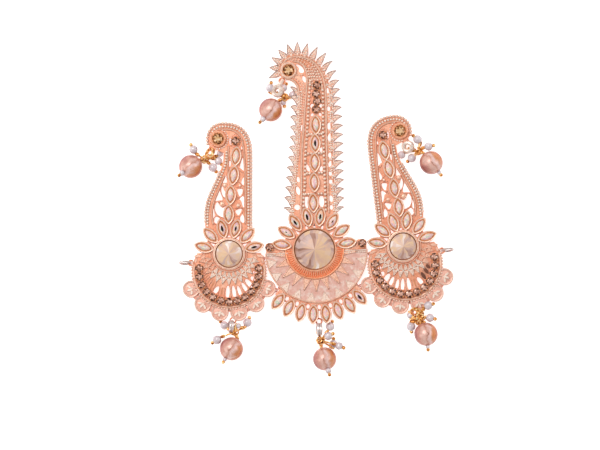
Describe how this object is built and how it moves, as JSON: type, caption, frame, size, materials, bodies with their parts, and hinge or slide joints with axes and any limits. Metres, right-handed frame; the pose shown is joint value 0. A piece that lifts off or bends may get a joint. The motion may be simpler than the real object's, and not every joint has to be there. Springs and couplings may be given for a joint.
{
  "type": "turban brooch",
  "caption": "Kalgi turban brooch of linked cast paisley plates: a tall thorned plume between smaller ones, with round and marquise crystals, pink enamel and bead drops.",
  "frame": {"origin": "centre of the flat back of the middle plate's big round cup, on the plane that the brooch lies on", "axes": "+X along the row of plates towards the right-hand plate as seen from the front, +Y up the arms, +Z out of the face"},
  "size_m": [0.1271, 0.1546, 0.012],
  "materials": {
    "rose_plating": "peach rose-gold plating over a cast zinc alloy, satin, with pale pink enamel in the half disc",
    "champagne_crystal": "foil-backed champagne crystal, cut with a pointed face",
    "smoky_crystal": "foil-backed smoky brown crystal",
    "iris_crystal": "clear marquise crystal with an iridescent coat and a foil back",
    "lustre_bead": "translucent pink glass with a lustre coat",
    "gold_findings": "gold-plated wire, polished, strung with milky lavender beads",
    "pale_wire": "pale plated steel wire"
  },
  "bodies": {
    "centre": {"centre_plate": "rose_plating", "centre_rivoli": "champagne_crystal", "centre_curl_stone": "smoky_crystal", "centre_fan_stone_1": "iris_crystal", "centre_fan_stone_2": "iris_crystal", "centre_fan_stone_3": "iris_crystal", "centre_fan_stone_4": "iris_crystal", "centre_fan_stone_5": "iris_crystal", "centre_fan_stone_6": "iris_crystal", "centre_fan_stone_7": "iris_crystal", "centre_fan_stone_8": "iris_crystal", "centre_hem_stone_1": "iris_crystal", "centre_hem_stone_2": "iris_crystal", "centre_hem_stone_3": "iris_crystal", "centre_hem_stone_4": "iris_crystal", "centre_hem_stone_5": "iris_crystal", "centre_hem_stone_6": "iris_crystal", "centre_hem_stone_7": "iris_crystal", "centre_hem_stone_8": "iris_crystal", "brooch_pin": "pale_wire", "centre_curl_bead": "lustre_bead", "centre_curl_findings": "gold_findings", "centre_hem_bead": "lustre_bead", "centre_hem_findings": "gold_findings", "left_hinge_ring_1": "gold_findings", "left_hinge_ring_2": "gold_findings", "right_hinge_ring_1": "gold_findings", "right_hinge_ring_2": "gold_findings"},
    "left_side": {"left_plate": "rose_plating", "left_rivoli": "champagne_crystal", "left_curl_stone": "smoky_crystal", "left_fan_stone_1": "iris_crystal", "left_fan_stone_2": "iris_crystal", "left_fan_stone_3": "iris_crystal", "left_fan_stone_4": "iris_crystal", "left_fan_stone_5": "iris_crystal", "left_fan_stone_6": "iris_crystal", "left_tie_loop": "pale_wire", "left_curl_bead": "lustre_bead", "left_curl_findings": "gold_findings", "left_hem_bead": "lustre_bead", "left_hem_findings": "gold_findings"},
    "right_side": {"right_plate": "rose_plating", "right_rivoli": "champagne_crystal", "right_curl_stone": "smoky_crystal", "right_fan_stone_1": "iris_crystal", "right_fan_stone_2": "iris_crystal", "right_fan_stone_3": "iris_crystal", "right_fan_stone_4": "iris_crystal", "right_fan_stone_5": "iris_crystal", "right_fan_stone_6": "iris_crystal", "right_tie_loop": "pale_wire", "right_curl_bead": "lustre_bead", "right_curl_findings": "gold_findings", "right_hem_bead": "lustre_bead", "right_hem_findings": "gold_findings"}
  },
  "joints": [
    {"name": "left_fold", "type": "hinge", "parent": "centre", "child": "left_side", "pos_m": [-0.0228, -0.0028, 0.0016], "axis": [0.3258, -0.9454, 0], "range_deg": [0, 45]},
    {"name": "right_fold", "type": "hinge", "parent": "centre", "child": "right_side", "pos_m": [0.0244, -0.0028, 0.0016], "axis": [0.3258, 0.9454, 0], "range_deg": [0, 45]}
  ]
}
